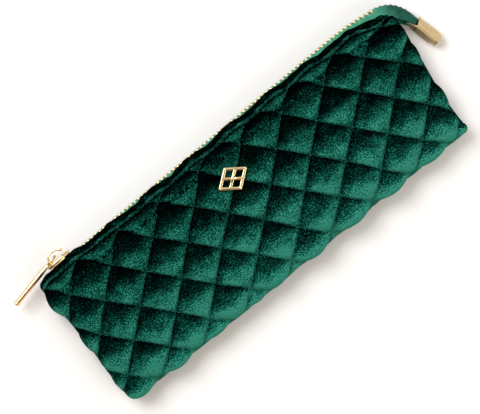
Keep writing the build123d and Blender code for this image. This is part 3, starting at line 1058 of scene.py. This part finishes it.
def build_pull():
    """Wire eye round the bail, and a turned bar with a collar at its end."""
    along = np.array((math.cos(pull_heading), math.sin(pull_heading), 0.0))
    across = np.array((-along[1], along[0], 0.0))
    solids = Solids()
    reach, height, squareness = 2.75, 1.7, 0.75
    outline = circle(1, 40)
    outline = np.sign(outline) * np.abs(outline) ** squareness * (reach, height)
    middle = pull_pivot + along * reach
    ring = middle + outline[:, :1] * along + outline[:, 1:] * np.array((0, 0, 1.0))
    solids.sweep(ring, unit(ring - middle), across, circle(0.62, 12), loop=True)
    neck = [
        (4.9, 0.3), (5.0, 0.62), (5.5, 0.85), (6.2, 0.92),
        (7.2, 1.0), (8.6, 1.22), (10.2, 1.33), (12.0, 1.35),
    ]
    collar = [
        (2.2, 1.38), (1.9, 1.36), (1.8, 1.2), (1.65, 1.2), (1.55, 1.42), (1.4, 1.53),
        (0.9, 1.56), (0.5, 1.5), (0.2, 1.3), (0.05, 0.9), (0.0, 0.3),
    ]
    profile = np.array(neck + [(pull_length - back, radius) for back, radius in collar])
    centres = pull_pivot + profile[:, :1] * along
    sections = circle(1, 28)[None] * profile[:, 1][:, None, None]
    solids.sweep(centres, across, (0, 0, 1), sections)
    fit_metal(solids.piece("turned_pull", 50), "pull", "pull_bar")


# Clip

def clip_axes():
    """Unit vectors along the clip, across it away from the bag, and out of its face."""
    flat = np.array((math.cos(clip_heading), math.sin(clip_heading), 0.0))
    along = flat * math.cos(clip_droop) - np.array((0, 0, math.sin(clip_droop)))
    outward = np.array((-flat[1], flat[0], 0.0))
    up = np.cross(along, outward)
    across = outward * math.cos(clip_roll) - up * math.sin(clip_roll)
    return along, across, np.cross(along, across)


def build_clip():
    along, across, face = clip_axes()
    top = clip_mouth + face * clip_depth / 2
    cover = np.array(
        [
            (-0.3, 2.45), (0.9, -2.55), (14.6, -3.05), (15.0, -2.6),
            (14.9, -0.6), (14.3, 1.7), (13.2, 2.85),
        ]
    )
    lip = np.array([(-0.9, 2.65), (0.4, -2.75), (1.5, -2.8), (0.35, 2.7)])
    for name, outline, below, above, bevel, segments in (
        ("shell", cover, 0.0, 0.0, 0.55, 4),
        ("lip", lip, 0.15, 0.25, 0.3, 3),
    ):
        origin = top - face * (clip_depth + below)
        depth = clip_depth + below + above
        label = "clip_cover_" + name
        piece = bevelled_prism(label, outline[::-1], origin, along, across, depth, bevel, segments)
        fit_metal(piece, "tail", "end_clip_cover")
    build_clip_plate(along, across, face)


def build_clip_plate(along, across, face):
    """Flat plate on the side that faces the bag, with a pointed tongue, and the set screw in it."""
    origin = clip_mouth - across * 2.5
    outline = np.array(
        [(-4.1, -0.9), (-0.4, -2.8), (10.4, -2.9), (11.8, -2.0), (12.4, 1.9), (0.6, 1.9), (-2.9, 0.6)]
    )
    plate = bevelled_prism("clip_side_plate", outline, origin, along, face, 0.8, 0.18)
    fit_metal(plate, "tail", "end_clip_plate", satin_gold)
    centre = origin + along * 1.2 - face * 0.6
    sections = circle(1, 20)[None] * np.array([0.75, 0.7, 0.5, 0.45, 0.05])[:, None, None]
    depths = np.array([0.8, 0.9, 0.9, 0.5, 0.45])[:, None]
    screw = swept_piece("clip_set_screw", centre - depths * across, along, face, sections, 40)
    fit_metal(screw, "tail", "end_clip_screw", screw_painted_dark)


def build_bottom_stop():
    places, path = chain_path(134.2, 135.4, 0.4)
    inward, up = chain_axes(path, places)
    share = np.array([0.8, 1, 1, 0.8])[:, None, None]
    sections = rounded_rectangle(2.3, 2.6, 0.8)[None] * share
    stop = swept_piece("bottom_stop_clamp", path - inward * 0.5, inward, up, sections)
    fit_metal(stop, "tail", "zip_bottom_stop")


# Ornament

def build_ornament():
    """Openwork lozenge of bevelled bars: one bar each way within a frame, and a stud on each corner."""
    half_x, half_y = (ornament_high[:2] - ornament_low[:2]) / 2 - 0.5
    level = ornament_high[2] - 0.55
    corners = np.array([(half_x, 0), (0, half_y), (-half_x, 0), (0, -half_y)])
    middle = np.array((ornament_middle[0], ornament_middle[1], level))
    section = rounded_rectangle(1.6, 1.2, 0.42)
    solids = Solids()

    def bar(start, end, dip):
        start, end = np.array((*start, 0.0)), np.array((*end, 0.0))
        share = np.linspace(0, 1, 17)
        path = middle + start + share[:, None] * (end - start)
        path[:, 2] += dip * np.exp(-(((share - 0.5) / 0.13) ** 2))
        along = unit(end - start)
        solids.sweep(path, np.cross((0, 0, 1), along), (0, 0, 1), section)

    for i in range(4):
        bar(corners[i], corners[(i + 1) % 4], 0.0)
    bar((corners[0] + corners[1]) / 2, (corners[2] + corners[3]) / 2, 0.35)
    bar((corners[1] + corners[2]) / 2, (corners[3] + corners[0]) / 2, -0.35)
    dome = np.linspace(0, np.pi / 2, 6)
    for corner in corners:
        centres = middle + np.array((*corner, 0.0)) + np.sin(dome)[:, None] * (0, 0, 0.85) - (0, 0, 0.1)
        radii = np.maximum(0.95 * np.cos(dome), 0.08)
        solids.sweep(centres, (1, 0, 0), (0, 1, 0), circle(1, 16)[None] * radii[:, None, None])
    fit_metal(solids.piece("lozenge_ornament", 50), "front_panel", "ornament")


# Stage

def build_stage():
    bpy.ops.mesh.primitive_plane_add(size=4)
    floor = bpy.context.object
    floor.name = "floor"
    material, tree, shader = new_material("white_floor")
    tree.feed(shader, {"Base Color": (0.9, 0.9, 0.9, 1), "Roughness": 0.9, "Specular IOR Level": 0.0})
    floor.data.materials.append(material)


def area_light(name, place, size, power):
    """Soft light that faces the middle of the bag."""
    data = bpy.data.lights.new(name, "AREA")
    data.energy = power
    data.size = size
    light = bpy.data.objects.new(name, data)
    light.location = place
    light.rotation_mode = "QUATERNION"
    light.rotation_quaternion = (-Vector(place)).to_track_quat("-Z", "Y")
    bpy.context.scene.collection.objects.link(light)


def build_lights():
    """Soft studio: a bright tent with dark flags, which draw stripes on the metal, and a key light."""
    world = bpy.data.worlds.new("studio")
    tree = Tree(world)
    direction = tree.coordinates("Generated")
    place = tree.map_range(tree.facing(direction, (0.35, 0.93, 0.1)), -1, 1)
    levels = (
        (0.0, (1.0, 0.92, 0.80)),
        (0.10, (0.85, 0.66, 0.45)),
        (0.17, (0.60, 0.27, 0.10)),
        (0.30, (0.45, 0.17, 0.06)),
        (0.36, (0.05, 0.03, 0.01)),
        (0.47, (0.08, 0.05, 0.03)),
        (0.52, (0.95, 0.93, 0.90)),
        (0.85, (1.10, 1.10, 1.10)),
        (0.90, (0.35, 0.32, 0.28)),
        (1.0, (0.20, 0.18, 0.15)),
    )
    strength = tree.map_range(tree.facing(direction, (0.98, 0.14, 0.14)), 0.955, 0.985, 0.8, 0.12)
    tree.feed(tree.nodes["Background"], {"Color": tree.ramp(place, levels), "Strength": strength})
    bpy.context.scene.world = world
    area_light("key", (-0.12, 0.5, 0.75), 0.5, 6.0)
    area_light("fill", (0.3, -0.6, 0.6), 0.6, 3.0)


def build_camera():
    """Straight above the bag, with its long axis rising to the right."""
    camera_height = 0.8
    bag_middle = 0.012
    frame_width = 0.2387
    roll = math.radians(-39.75)
    data = bpy.data.cameras.new("camera")
    data.lens = 120
    data.sensor_width = data.lens * frame_width / camera_height
    camera = bpy.data.objects.new("camera", data)
    camera.location = (-0.0052, 0.0037, bag_middle + camera_height)
    camera.rotation_euler = (0, 0, roll)
    bpy.context.scene.collection.objects.link(camera)
    bpy.context.scene.camera = camera


def dress_frame():
    """Materials for the CAD nodes that stay."""
    slots = {part["node"]: part["material_slot"] for part in frame["record"]["subparts"]}
    for name, node in frame["nodes"].items():
        for slot in node.material_slots:
            slot.material = slot_materials[slots[name]]


build_camera()
for side in (1, -1):
    build_panel(side)
build_tapes()
build_tail_tape()
build_teeth()
build_top_stops()
build_slider()
build_bail()
build_pull()
build_clip()
build_bottom_stop()
build_ornament()
dress_frame()
build_stage()
build_lights()
bpy.context.scene.view_settings.view_transform = "Standard"
